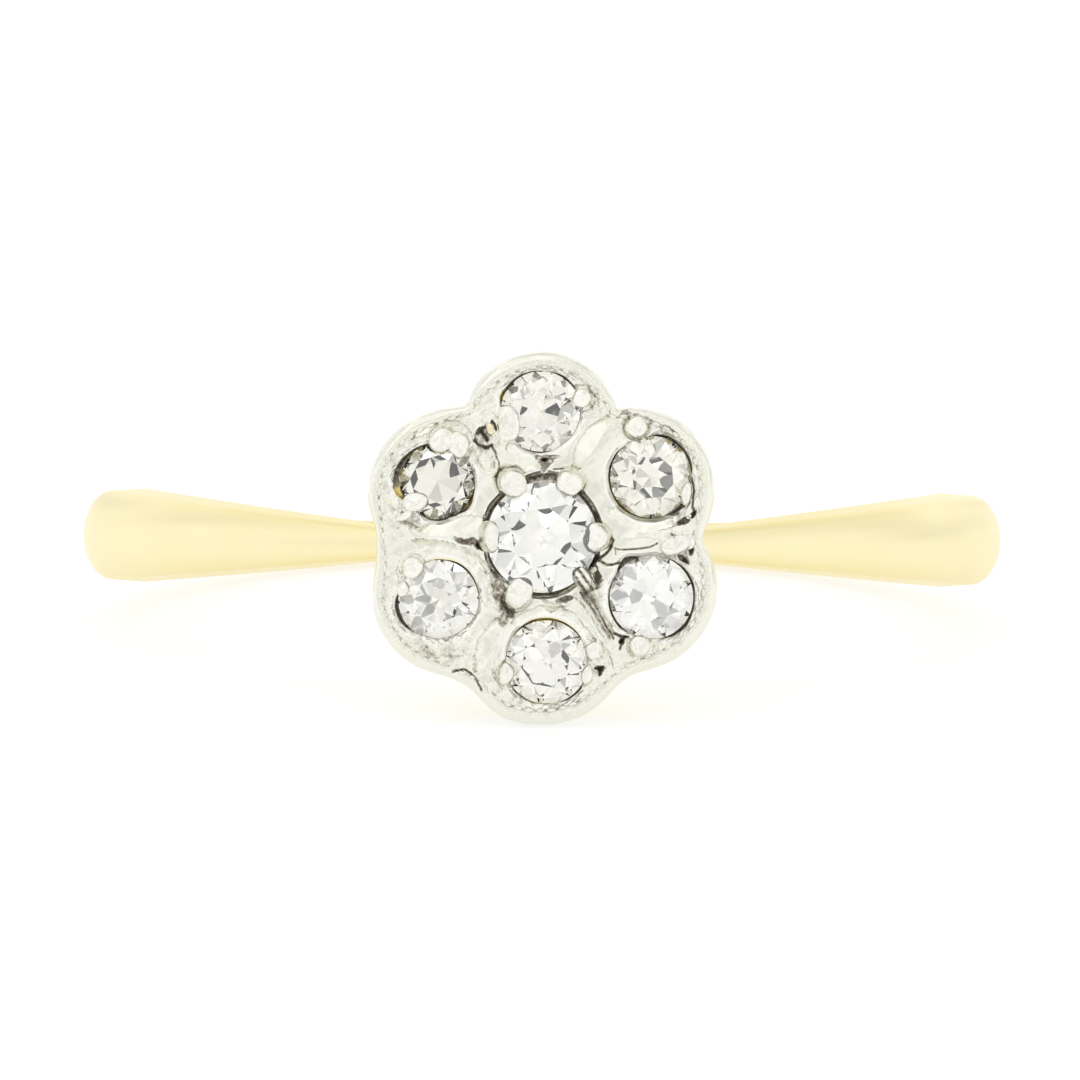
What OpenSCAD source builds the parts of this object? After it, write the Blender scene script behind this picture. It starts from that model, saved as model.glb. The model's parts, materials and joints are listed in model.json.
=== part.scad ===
// Cluster ring, lying on its side: a gold band and gallery under a platinum head of six petals,
// with a raised centre stone in claws and one stone held by grains in each petal.
// The ring is built with the head up and the finger along Y, and is then laid down, so that the
// lowest petal and the back of the band rest on the plane Z = 0 and the head faces -Y.

/* [Band] */
// Inside diameter of the ring, where the finger goes
finger_d = 17; // [15:0.1:21]
// Width of the band at the sides of the finger
side_w = 2.03; // [1.6:0.01:2.8]
// Width of the band at the back
back_w = 0.95; // [0.8:0.01:1.6]
// Width of the band where it meets the head
neck_w = 0.82; // [0.6:0.01:1.4]
// Thickness of the band at the sides of the finger
side_t = 1.42; // [1.1:0.01:2]
// Thickness of the band at the back
back_t = 1.05; // [0.8:0.01:1.8]
// Thickness of the band where it meets the head
neck_t = 1.7; // [1.1:0.01:1.9]
// Height of the band's rounded outside above its straight edges, where it is widest
dome_h = 0.65; // [0.3:0.01:0.9]

/* [Stones] */
// Diameter of the centre stone
centre_d = 2.28; // [1.9:0.01:2.8]
// Diameter of a petal stone of the usual size
petal_d = 1.66; // [1.4:0.01:1.9]
// Metal between the centre stone and the petal stones
stone_gap = 0.63; // [0.45:0.01:1]
// Height of the centre stone's edge above the plate
centre_rise = 0.15; // [0.05:0.01:0.3]
// Depth of the petal stones' edges below the plate
petal_sink = 0.15; // [0.1:0.01:0.25]
// Space between a stone and its seat
seat_gap = 0.03; // [0.02:0.01:0.06]

/* [Head] */
// Height of the gold gallery above the inside of the band
gallery_h = 2.1; // [1.95:0.01:3]
// How far the tip of a flute leans in from the gallery's top to its foot
gallery_lean = 0.72; // [0.4:0.01:0.9]
// Thickness of the gallery's fluted wall
gallery_wall = 0.32; // [0.25:0.01:0.4]
// Thickness of the pierced plate at the gallery's top
gallery_plate = 0.45; // [0.3:0.01:0.8]
// Height of the platinum cup
cup_h = 1.38; // [1.2:0.01:1.8]
// Drop from the plate to the widest line of the cup
wide_drop = 0.7; // [0.4:0.01:0.9]
// How far the cup's foot lies inside its widest line
cup_lean = 0.25; // [0.15:0.01:0.35]
// Metal from a petal stone's edge to the petal's edge, across the petal
petal_flesh = 0.95; // [0.8:0.01:1.1]
// Width of the smooth rim outside the milgrain thread
rim_w = 0.22; // [0.15:0.01:0.4]
// Width of the milgrain thread
thread_w = 0.1; // [0.06:0.01:0.14]
// Height of the milgrain thread above the plate
thread_h = 0.06; // [0.03:0.01:0.1]
// Width of the plate left between a seat and the thread
ledge_w = 0.03; // [0.03:0.01:0.1]
// Width of the bright cut round a seat
bright_w = 0.04; // [0.02:0.01:0.08]
// Width of a claw of the usual size
claw_d = 0.5; // [0.3:0.01:0.6]
// Width of a grain of the usual size
grain_d = 0.4; // [0.25:0.01:0.5]
// Width of the pit pierced in the plate between two petals
pit_d = 0.27; // [0.15:0.01:0.35]

/* [Hidden] */
$fn = 48;

gold = "#e6c878";
platinum = "#d9d9d3";
diamond = "#dfe8ee";
slack = 1;          // how far a cutting shape runs past what it cuts
solder_gap = 0.02;  // between the gold gallery and the platinum cup

// Petals: turn from an even sixth in degrees, reach as a share of petal_reach, size as a share
// of petal_d. The first petal points along +Y, and the others follow anticlockwise.
TURN = 0;
REACH = 1;
SIZE = 2;
PETALS = [
    [0.9, 1, 1],
    [2.3, 0.945, 0.94],
    [1.5, 0.96, 1],
    [2.3, 0.99, 1.04],
    [1.7, 0.99, 1.04],
    [-0.6, 0.99, 1.02],
];
petals = len(PETALS);
sixth = 360 / petals;

// Claws: bearing round the centre stone in degrees, size as a share of claw_d
CLAW_BEARING = 0;
CLAW_SIZE = 1;
CLAWS = [[0, 1.15], [64, 0.95], [122, 1.05], [180, 0.85], [240, 0.95], [304, 0.95]];

// Grains: petal, bearing round its stone in degrees, reach as a share of the stone's radius,
// size as a share of grain_d
GRAIN_PETAL = 0;
GRAIN_BEARING = 1;
GRAIN_REACH = 2;
GRAIN_SIZE = 3;
GRAINS = [
    [0, 16, 1.08, 0.95], [0, 187, 0.9, 1.25],
    [1, 92, 1.07, 1], [1, 58, 1.14, 1], [1, 216, 0.95, 1.1], [1, 28, 1.36, 0.9],
    [2, 132, 1.05, 1], [2, 268, 1.2, 0.9], [2, 302, 1.2, 0.95],
    [3, 191, 1, 0.95], [3, 20, 1.15, 0.85], [3, 342, 1.07, 0.95],
    [4, 67, 1.3, 1.25], [4, 254, 1.07, 1.1],
    [5, 111, 1.2, 1.1], [5, 331, 0.97, 1],
];

// The pit: bearing from the head's centre in degrees, reach as a share of petal_reach
PIT_BEARING = 118.5;
PIT_REACH = 0.95;

// Cut of the stones, as shares of the radius: the table's corners, the tips of the star facets,
// where the lower facets meet, and the culet
table_share = 0.54;
star_share = 0.78;
lower_share = 0.45;
culet_share = 0.1;
// and as shares of the diameter: the crown's height, the girdle's and the pavilion's
crown_share = 0.16;
girdle_share = 0.03;
pavilion_share = 0.42;
// The hole behind a stone as a share of its radius, in the cup and in the gallery's plate
hole_share = 0.62;
plate_hole_share = 0.5;
facets = 8;
facet_a = 360 / facets;

bore_r = finger_d / 2;
gallery_z = bore_r + gallery_h;
cup_z = gallery_z + solder_gap;
plate_z = cup_z + cup_h;
wide_z = plate_z - wide_drop;
petal_reach = centre_d / 2 + stone_gap + petal_d / 2;
tip_rim = seat_gap + bright_w + ledge_w + thread_w + rim_w;
lobe_r = petal_d / 2 + petal_flesh;
lobe_c = petal_reach + petal_d / 2 + tip_rim - lobe_r;
tip = lobe_c + lobe_r;
notch = edge_at(0, lobe_r, lobe_c);
centre_girdle_z = plate_z + centre_rise;
petal_girdle_z = plate_z - petal_sink;

// Distance from the head's centre to the edge of six circles of radius r, with their centres at
// distance c, in the direction a
function edge_at(a, r, c) =
    let (off = a % sixth - sixth / 2)
    c * cos(off) + sqrt(max(0, r * r - pow(c * sin(off), 2)));

// Share of the way back from the band's sides to its neck, 1 under the head
neck_sin = notch / (bore_r + neck_t);
function to_neck(a) = min(1, (1 - sin(a)) / (1 - neck_sin));

// The band's width, thickness and dome at the angle a from the head, 0 to 180
neck_curve = 1.25;
back_curve = 2.6;
function band_w(a) = a < 90
    ? side_w - (side_w - neck_w) * pow(to_neck(a), neck_curve)
    : back_w + (side_w - back_w) * pow(sin(a), back_curve);
function band_t(a) = a < 90
    ? side_t + (neck_t - side_t) * pow(to_neck(a), 2)
    : back_t + (side_t - back_t) * pow(sin(a), 2);
function band_dome(a) = dome_h * band_w(a) / side_w;
function band_edge_r(a) = bore_r + band_t(a) - band_dome(a);

// The ring is laid down by the smallest tilt at which some part of the band's edge reaches the
// floor that the lowest petal stands on
band_step = 5;
tilt = atan(min([for (a = [90:band_step:180])
    (tip - band_w(a) / 2) / (wide_z - band_edge_r(a) * cos(a))]));
lift = tip * cos(tilt) - wide_z * sin(tilt);
claw_tip_z = centre_girdle_z + 0.35 * claw_d;
front_y = max(
    (centre_girdle_z + crown_share * centre_d) * cos(tilt) + table_share * centre_d / 2 * sin(tilt),
    (claw_tip_z + claw_d / 2) * cos(tilt) + centre_d / 2 * sin(tilt));
back_y = band_edge_r(180) * cos(tilt)
    + norm([band_w(180) / 2 * sin(tilt), band_dome(180) * cos(tilt)]);
shift = (front_y - back_y) / 2;

module lay_down() {
    translate([0, shift, lift]) rotate([90 - tilt, 0, 0]) children();
}

// Where petal k's stone stands, and its radius
function petal_angle(k) = 90 + k * sixth + PETALS[k][TURN];
function petal_r(k) = petal_d / 2 * PETALS[k][SIZE];
function petal_at(k) = petal_reach * PETALS[k][REACH] * [cos(petal_angle(k)), sin(petal_angle(k))];
module at_petal(k) {
    translate(concat(petal_at(k), petal_girdle_z)) children();
}

// Heights of a stone's corners from its girdle's upper edge, for radius r. The kite and main
// facets are flat, because their side corners lie on the line between their other two.
half_cos = cos(facet_a / 2);
function table_z(r) = 2 * r * crown_share;
function star_z(r) = table_z(r) * (1 - star_share * half_cos) / (1 - table_share);
function girdle_z(r) = -2 * r * girdle_share;
function culet_z(r) = girdle_z(r) - 2 * r * pavilion_share;
function lower_z(r) = girdle_z(r)
    - 2 * r * pavilion_share * (1 - lower_share * half_cos) / (1 - culet_share * half_cos);

// A ring of n points at radius r and height z, the first at angle first
function ring_of(n, r, z, first) =
    [for (i = [0:n - 1]) let (a = first + i * 360 / n) [r * cos(a), r * sin(a), z]];

// A round cut stone: table, 8 stars, 8 kites, 16 upper facets, girdle, 16 lower facets, 8 mains
// and culet
module stone(r) {
    n = facets;
    m = 2 * n;
    half_a = facet_a / 2;
    points = concat(
        ring_of(n, r * table_share, table_z(r), half_a),
        ring_of(n, r * star_share, star_z(r), 0),
        ring_of(m, r, 0, 0),
        ring_of(m, r, girdle_z(r), 0),
        ring_of(n, r * lower_share, lower_z(r), 0),
        ring_of(n, r * culet_share, culet_z(r), 0));
    star = n;
    upper = 2 * n;
    under = upper + m;
    lower = under + m;
    culet = lower + n;
    ks = [0:n - 1];
    polyhedron(points, concat(
        [[for (k = ks) n - 1 - k]],
        [for (k = ks) [k, star + k, (k + n - 1) % n]],
        [for (k = ks) [k, star + (k + 1) % n, upper + 2 * k + 1, star + k]],
        [for (k = ks) [star + k, upper + 2 * k + 1, upper + 2 * k]],
        [for (k = ks) [star + k, upper + 2 * k, upper + (2 * k + m - 1) % m]],
        [for (j = [0:m - 1]) [upper + j, upper + (j + 1) % m, under + (j + 1) % m, under + j]],
        [for (k = ks) [under + 2 * k, under + 2 * k + 1, lower + k]],
        [for (k = ks) [under + (2 * k + m - 1) % m, under + 2 * k, lower + k]],
        [for (k = ks)
            [under + 2 * k + 1, lower + (k + 1) % n, culet + (k + 1) % n, culet + k, lower + k]],
        [[for (k = ks) culet + k]]));
}

// The room that a stone takes, with space g round it
module stone_room(r, g) {
    rotate_extrude() polygon([
        [0, culet_z(r) - g], [r * culet_share + g, culet_z(r) - g],
        [r * lower_share + g, lower_z(r) - g], [r + g, girdle_z(r) - g / 2], [r + g, g / 2],
        [r * star_share + g, star_z(r) + g], [r * table_share + g, table_z(r) + g],
        [0, table_z(r) + g],
    ]);
}

// The seat cut for a stone, from its hole behind to a bright cut that widens above the plate.
// top is the plate's height from the girdle.
module seat(r, top) {
    hole = r * hole_share;
    hole_z = girdle_z(r) - (girdle_z(r) - lower_z(r)) * (1 - hole_share) / (1 - lower_share);
    lip = r + seat_gap + bright_w;
    wall = top > 0
        ? [[r + seat_gap, girdle_z(r) - seat_gap / 2], [r + seat_gap, 0], [lip, top]]
        : [[lip, top]];
    rotate_extrude() polygon(concat(
        [[0, -cup_h - slack], [hole, -cup_h - slack], [hole, hole_z - seat_gap]],
        wall,
        [[lip + slack / 2, top + slack], [0, top + slack]]));
}

// A solid with a petalled outline, through levels of height, circle radius and circle distance.
// Each end is a fan of triangles round a point on the head's axis.
module petalled(levels) {
    n = 12 * petals;
    last = len(levels) - 1;
    points = concat(
        [for (l = levels, i = [0:n - 1])
            let (a = i * 360 / n, e = edge_at(a, l[1], l[2])) [e * cos(a), e * sin(a), l[0]]],
        [[0, 0, levels[0][0]], [0, 0, levels[last][0]]]);
    foot = n * (last + 1);
    head = foot + 1;
    polyhedron(points, concat(
        [for (i = [0:n - 1]) [foot, i, (i + 1) % n]],
        [for (l = [0:last - 1], i = [0:n - 1])
            let (j = (i + 1) % n, b = l * n) each [[b + i, b + n + i, b + n + j],
                                                  [b + i, b + n + j, b + j]]],
        [for (i = [0:n - 1]) [head, n * last + (i + 1) % n, n * last + i]]));
}

// The band as one closed strip, before the finger hole is cut
module strip() {
    arc = 8;
    m = arc + 3;
    n = 360 / band_step;
    points = [for (i = [0:n - 1])
        let (a = i * band_step, b = a > 180 ? 360 - a : a, w = band_w(b) / 2,
             in_r = bore_r - slack / 2)
        each [for (p = concat([[-w, in_r]],
                              [for (j = [0:arc]) let (e = 180 - j * 180 / arc)
                                  [w * cos(e), band_edge_r(b) + band_dome(b) * sin(e)]],
                              [[w, in_r]]))
            [p[1] * sin(a), p[0], p[1] * cos(a)]]];
    polyhedron(points, [for (i = [0:n - 1], j = [0:m - 1])
        let (p = i * m + j, q = i * m + (j + 1) % m,
             s = (i + 1) % n * m + j, t = (i + 1) % n * m + (j + 1) % m)
        each [[p, t, s], [p, q, t]]]);
}

// The gallery's outline at height z, with its wall set in by wall
foot_share = 1 - gallery_lean / (tip - cup_lean);
function gallery_level(z, wall) =
    let (s = 1 - (1 - foot_share) * (gallery_z - z) / gallery_h)
    [z, (lobe_r - cup_lean) * s - wall, lobe_c * s];

module band() color(gold) lay_down() difference() {
    union() {
        strip();
        petalled([gallery_level(bore_r - slack, 0), gallery_level(gallery_z, 0)]);
    }
    petalled([gallery_level(bore_r - 2 * slack, gallery_wall),
              gallery_level(gallery_z - gallery_plate, gallery_wall)]);
    rotate([90, 0, 0]) cylinder(r = bore_r, h = 2 * tip + slack, center = true);
    translate([0, 0, gallery_z - gallery_plate - gallery_wall / 2]) {
        cylinder(r = centre_d / 2 * plate_hole_share, h = gallery_plate + slack);
        for (k = [0:petals - 1]) translate(petal_at(k))
            cylinder(r = petal_r(k) * plate_hole_share, h = gallery_plate + slack);
    }
}

// The cup before its seats are cut. It widens from its foot, is rounded over above its widest
// line, and has the milgrain thread as a ridge round the plate. Each row of RIM is a share of
// wide_drop below the plate and a share of rim_w inside the widest line.
RIM_DROP = 0;
RIM_IN = 1;
RIM = [[1, 0], [0.5, 0.1], [0.15, 0.5], [0, 1]];
module cup() {
    thread_r = lobe_r - rim_w;
    petalled(concat(
        [[cup_z, lobe_r - cup_lean, lobe_c]],
        [for (p = RIM) [plate_z - p[RIM_DROP] * wide_drop, lobe_r - p[RIM_IN] * rim_w, lobe_c]],
        [[plate_z + thread_h, thread_r - thread_w / 2, lobe_c],
         [plate_z, thread_r - thread_w, lobe_c]]));
}

module claw(bearing, size) {
    r = claw_d / 2 * size;
    root = [centre_d / 2 + seat_gap + bright_w + 0.8 * r, plate_z - claw_d / 2];
    end = [centre_d / 2 + 0.15 * r, claw_tip_z];
    rotate(bearing) translate([root[0], 0, root[1]])
        rotate([0, -atan((root[0] - end[0]) / (end[1] - root[1])), 0]) {
            cylinder(r1 = 1.1 * r, r2 = r, h = norm(end - root));
            translate([0, 0, norm(end - root)]) sphere(r);
        }
}

module grain(g) {
    k = g[GRAIN_PETAL];
    d = petal_r(k) * g[GRAIN_REACH];
    translate(concat(petal_at(k) + d * [cos(g[GRAIN_BEARING]), sin(g[GRAIN_BEARING])], plate_z))
        sphere(d = grain_d * g[GRAIN_SIZE]);
}

module setting() color(platinum) lay_down() difference() {
    union() {
        difference() {
            cup();
            translate([0, 0, centre_girdle_z]) seat(centre_d / 2, -centre_rise);
            for (k = [0:petals - 1]) at_petal(k) seat(petal_r(k), petal_sink);
            rotate(PIT_BEARING) translate([petal_reach * PIT_REACH, 0, cup_z - slack])
                cylinder(d = pit_d, h = cup_h + 2 * slack);
        }
        for (c = CLAWS) claw(c[CLAW_BEARING], c[CLAW_SIZE]);
        for (g = GRAINS) grain(g);
    }
    translate([0, 0, centre_girdle_z]) stone_room(centre_d / 2, seat_gap);
    for (k = [0:petals - 1]) at_petal(k) stone_room(petal_r(k), seat_gap);
}

module centre_stone() color(diamond) lay_down() translate([0, 0, centre_girdle_z]) stone(centre_d / 2);

module petal_stone(k) color(diamond) lay_down() at_petal(k) rotate(petal_angle(k)) stone(petal_r(k));

band();
setting();
centre_stone();
petal_stone(0);  // petal_stone_top
petal_stone(1);  // petal_stone_upper_left
petal_stone(2);  // petal_stone_lower_left
petal_stone(3);  // petal_stone_bottom
petal_stone(4);  // petal_stone_lower_right
petal_stone(5);  // petal_stone_upper_right
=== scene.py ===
"""Cluster ring: gold band and gallery, platinum head and seven stones, dressed on its frame."""
import json
from types import SimpleNamespace

import bmesh
import bpy
import numpy as np
from bpy.props import FloatProperty, FloatVectorProperty, IntProperty, PointerProperty
from mathutils import Euler, Matrix, Vector


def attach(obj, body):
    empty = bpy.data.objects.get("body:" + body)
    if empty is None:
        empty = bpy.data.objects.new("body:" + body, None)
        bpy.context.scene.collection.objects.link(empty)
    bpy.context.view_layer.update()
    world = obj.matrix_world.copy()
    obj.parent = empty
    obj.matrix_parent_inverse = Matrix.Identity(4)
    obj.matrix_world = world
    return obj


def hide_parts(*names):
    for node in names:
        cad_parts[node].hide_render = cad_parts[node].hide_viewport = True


bl_info = {
    "name": "Cluster Ring",
    "version": (1, 0, 0),
    "blender": (4, 5, 0),
    "location": "3D View > Sidebar > Ring",
    "description": "Makes the band, gallery, head, stones and stage of a cluster ring",
    "category": "Mesh",
}

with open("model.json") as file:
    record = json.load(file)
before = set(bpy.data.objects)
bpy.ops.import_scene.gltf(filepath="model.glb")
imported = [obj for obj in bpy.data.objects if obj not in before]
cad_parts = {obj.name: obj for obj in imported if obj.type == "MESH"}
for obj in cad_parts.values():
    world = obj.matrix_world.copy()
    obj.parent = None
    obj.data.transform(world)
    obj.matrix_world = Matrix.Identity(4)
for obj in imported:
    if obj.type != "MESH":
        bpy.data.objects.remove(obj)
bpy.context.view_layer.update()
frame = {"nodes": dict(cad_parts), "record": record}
MM = 0.001
TURN = 2 * np.pi
SIXTH = TURN / 6

# The ring's own frame: across the band, along the finger and out of the head, in millimetres
# from the middle of the finger hole.
FINGER = next(m for m in frame["record"]["mounts"] if m["name"] == "finger")
ORIGIN = np.array(FINGER["pos_m"])
ACROSS = np.array([1.0, 0.0, 0.0])
ALONG = np.array(FINGER["axis"]) / np.linalg.norm(FINGER["axis"])
FRAME = np.stack([ACROSS, ALONG, np.cross(ACROSS, ALONG)])
OUT = FRAME[2]

# What each point of the platinum holds: dry soil and painted shade, gold showing, rough ground,
# and burnish and painted highlight.
LAYERS = ("soil", "gilt", "rough", "rub")
PETAL_STONES = ["petal_stone_top", "petal_stone_upper_left", "petal_stone_lower_left",
                "petal_stone_bottom", "petal_stone_lower_right", "petal_stone_upper_right"]


def linear(hex_colour):
    """Linear red, green, blue and alpha of an sRGB colour: each channel below 0.04045 is divided
    by 12.92, and each above it is (channel + 0.055) / 1.055 raised to 2.4."""
    c = np.array([int(hex_colour[i:i + 2], 16) / 255 for i in (1, 3, 5)])
    c = np.where(c <= 0.04045, c / 12.92, ((c + 0.055) / 1.055) ** 2.4)
    return (*c, 1.0)


def length(name, description, millimetres):
    """A length that a user may change, given in millimetres and kept in metres."""
    return FloatProperty(name=name, description=description, default=millimetres * MM,
                         min=0, precision=5, unit="LENGTH")


def share(name, description, value):
    """A share between 0 and 1 that a user may change."""
    return FloatProperty(name=name, description=description, default=value, min=0, max=1,
                         subtype="FACTOR")


def colour(name, description, hex_colour):
    """A colour that a user may change."""
    return FloatVectorProperty(name=name, description=description, subtype="COLOR", size=4,
                               min=0, max=1, default=linear(hex_colour))


class BandSizes(bpy.types.PropertyGroup):
    finger_r: length("Finger", "Radius of the finger hole", FINGER["dims"]["r_mm"])
    side_w: length("Side width", "Width at the sides of the finger", 2.02)
    back_w: length("Back width", "Width at the back", 0.76)
    neck_w: length("Neck width", "Width of the inside where it meets the head", 0.635)
    taper: share("Taper", "Width where the dome springs, as a share of the inside's", 0.955)
    side_t: length("Side thickness", "Thickness at the sides of the finger", 1.42)
    back_t: length("Back thickness", "Thickness at the back", 1.05)
    neck_t: length("Neck thickness", "Thickness where it meets the head", 1.7)
    dome_h: length("Dome", "Height of the rounded outside where the band is widest", 0.65)
    round_r: length("Inner edge", "Rounding of the inner edges, as worn", 0.1)
    neck_drop: length("Neck drop", "How far the necks are bent to one side", 0.155)
    back_drop: length("Back drop", "How far the back is bent to the same side", 0.09)
    turns: IntProperty(name="Steps", description="Steps round the band", default=480, min=60)


class HeadSizes(bpy.types.PropertyGroup):
    plate_z: length("Plate", "Height of the plate from the middle of the finger", 12.0)
    cup_h: length("Cup height", "Height of the platinum cup", 1.38)
    cup_lean: length("Cup lean", "How far its foot lies inside its widest line", 0.25)
    lobe_r: length("Petal radius", "Radius of a petal's round edge", 1.78)
    lobe_c: length("Petal reach", "From the middle of the head to that of a petal", 2.07)
    rim_w: length("Rim width", "Width of the smooth rim outside the milgrain", 0.27)
    thread_w: length("Thread width", "Width of the milgrain thread", 0.09)
    split_r: length("Inner cell", "Radius of the part of the plate round the centre stone", 1.5)
    bead_pitch: length("Bead pitch", "From one milgrain bead to the next", 0.23)
    gallery_h: length("Gallery height", "Height of the gallery above the finger", 2.1)
    gallery_lean: length("Gallery lean", "How far a flute's tip leans in at its foot", 0.72)
    gallery_wall: length("Gallery wall", "Thickness of the fluted wall", 0.32)
    gallery_plate: length("Gallery plate", "Thickness of the gallery's pierced plate", 0.45)
    hole_share: share("Hole", "Hole behind a stone in the cup, as a share of its radius", 0.62)
    plate_hole_share: share("Plate hole", "The same hole in the gallery's plate", 0.5)


class StoneSizes(bpy.types.PropertyGroup):
    table: share("Table", "Corners of the table, as a share of the radius", 0.56)
    star: share("Stars", "Tips of the star facets, as a share of the radius", 0.76)
    lower: share("Lower facets", "Where the lower facets meet, as a share of the radius", 0.66)
    culet: share("Culet", "Corners of the culet, as a share of the radius", 0.02)
    crown: share("Crown", "Height of the crown, as a share of the diameter", 0.16)
    girdle: share("Girdle", "Height of the girdle, as a share of the diameter", 0.03)
    pavilion: share("Pavilion", "Depth of the pavilion, as a share of the diameter", 0.42)


class Finishes(bpy.types.PropertyGroup):
    gold: colour("Gold", "Polished yellow gold", "#f7edc2")
    platinum: colour("Platinum", "Polished platinum", "#efefe6")
    # Soil and grime also paint shade: they darken the recesses, seats, moats and the feet of claws
    # and grains where shade falls.
    soil: colour("Soil", "Dry soap and dust in the recesses", "#9a9082")
    grime_and_shade: colour("Grime", "Where it has packed thick and dark", "#5d554b")
    floor: colour("Floor", "Matt white sweep", "#a5a5a4")


class StageSizes(bpy.types.PropertyGroup):
    distance: length("Distance", "From the camera to the middle of the ring", 250)
    lens: FloatProperty(name="Lens", description="Focal length in millimetres", default=384.8,
                        min=20, subtype="DISTANCE_CAMERA")
    floor_w: length("Floor", "Width of the floor", 6000)
    sky: FloatProperty(name="Sky", description="Strength of the white room", default=1.05, min=0)
    box: FloatProperty(name="Softbox", description="Power of the soft lamp overhead",
                       default=0.2, min=0, subtype="POWER")


def sizes(group):
    """A group's values, with its lengths in millimetres."""
    values = {}
    for p in group.bl_rna.properties:
        if p.identifier in ("rna_type", "name"):
            continue
        v = getattr(group, p.identifier)
        values[p.identifier] = v / MM if getattr(p, "unit", "NONE") == "LENGTH" else v
    return SimpleNamespace(**values)


# Places on the head's face are counted from its middle, right and up as the wearer's finger
# points, and bearings anticlockwise from the right.
# Notches between the petals: half width in degrees over which the corner is filled, and depth of
# the nick beyond it in millimetres.
NOTCHES = np.array([[2.2, 0], [1, 0.16], [1, 0.1], [4.2, 0], [4.4, 0], [3.2, 0]])

# The tables below are written in hundredths: of a millimetre, or of one for a share. Bearings and
# turns are in degrees.


def rows_of(table, turn=None):
    """A table's rows: every number is divided by 100, but for the column of turns."""
    table = np.array(table, float)
    parts = np.full(table.shape[1], 100)
    if turn:
        parts[turn] = 1
    return table / parts


# How far the worn edge stands off the petals' circles, by bearing.
EDGE = {0: 0, 15: -2, 40: -3, 47: -9, 54: -13, 60: 0, 66: -10, 75: -3, 88: 0, 105: -2, 115: -3,
        120: 0, 125: -14, 132: -17, 140: -12, 150: -7, 160: 0, 170: 5, 182: 2, 190: -10, 196: -10,
        206: -2, 215: 1, 228: 5, 240: 4, 246: -1, 258: 5, 270: 1, 280: 3, 292: 5, 300: 4, 306: -4,
        312: -5, 322: -1, 340: 5, 352: 5}

# Width of the rim as a share, by bearing.
RIM = {0: 92, 40: 95, 90: 105, 130: 95, 155: 78, 180: 66, 205: 75, 235: 90, 270: 95, 320: 95}

# Claws: x, y, height of the middle above the plate, half length, half width, half height, turn of
# the long side, how far the top leans towards the centre stone, soil and painted shade, gold, and
# how much of a moat runs round it.
CLAWS = rows_of([
    [111, 1, 6, 30, 31, 28, 0, 30, 0, 0, 30], [57.5, 116.5, 8, 27, 29, 30, 64, 35, 0, 0, 100],
    [-62.5, 114, 8, 31, 29, 31, 125, 30, 0, 0, 100], [-110, 1, 8, 19, 34, 30, 180, 40, 0, 0, 100],
    [-47, -116, 5, 36, 27, 26, 246, 40, 0, 0, 100],
    [86, -86, 6, 28, 18, 28, 305, 40, 42, 0, 100]], turn=6)
# Grains: the same, the turn and the lean being towards the petal's stone where it has one.
GRAINS = rows_of([
    [80, 287, 0, 20, 20, 17, 20, 0, 0, 0, 100], [-78, 233, -7, 25, 41, 24, 180, 60, 0, 0, 0],
    [-207, 198, 0, 29, 25, 19, 30, 0, 0, 0, 100], [-173, 190, 0, 28, 23, 18, 100, 0, 0, 0, 70],
    [-262, 72, -3, 28, 20, 15, 10, 0, 0, 0, 100], [-286, 50, -6, 24, 17, 13, 30, 0, 10, 0, 100],
    [-118, 162, -7, 17, 26, 12, 20, 0, 10, 0, 100], [-266, -64, 0, 23, 22, 16, 30, 0, 0, 0, 100],
    [-286, -109, -4, 17, 12, 12, 75, 0, 5, 0, 100],
    [-212, -236, -8, 28, 13, 10, 150, 0, 20, 0, 50], [-160, -212, -7, 25, 14, 13, 35, 0, 5, 0, 50],
    [-142, -230, -9, 16, 10, 11, 80, 0, 5, 0, 50], [-72, -282, 0, 24, 16, 16, 80, 0, 0, 0, 100],
    [109, -232, -2, 20, 18, 14, 40, 0, 5, 0, 100], [95, -282, -3, 20, 12, 13, 75, 0, 0, 0, 100],
    [274, -14, -1, 34, 20, 16, 20, 0, 5, 0, 100], [300, -5, -6, 16, 20, 13, 20, 0, 15, 0, 100],
    [204, -222, 0, 22, 22, 17, 90, 0, 0, 0, 100], [193, 228, 0, 24, 22, 19, 30, 0, 0, 0, 100],
    [297, 92, -2, 11, 25, 15, -8, 0, 0, 0, 100], [319, 74, -5, 7, 13, 10, -15, 0, 5, 0, 100],
    [-126, 205, -9, 9, 4.5, 9, -55, 0, 0, 0, 0], [-108, 223, 1, 9, 14, 15, 15, 0, 0, 60, 0],
    [286, 43, -6, 10, 4, 10, 40, 0, 0, 0, 100], [303, 45, -6, 7, 4, 10, 50, 0, 0, 0, 50]], turn=6)
# Rings left by the beading tool: x, y, radius, width, depth, soil and painted shade.
RINGS = rows_of([
    [80, 287, 27, 3, 5, 45], [193, 228, 26, 2.5, 5, 55], [-266, -64, 28, 2, 3, 30],
    [-72, -284, 23, 2, 3, 35], [204, -222, 27, 2, 3, 30], [-190, 195, 46, 2.5, 4, 40]])

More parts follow.
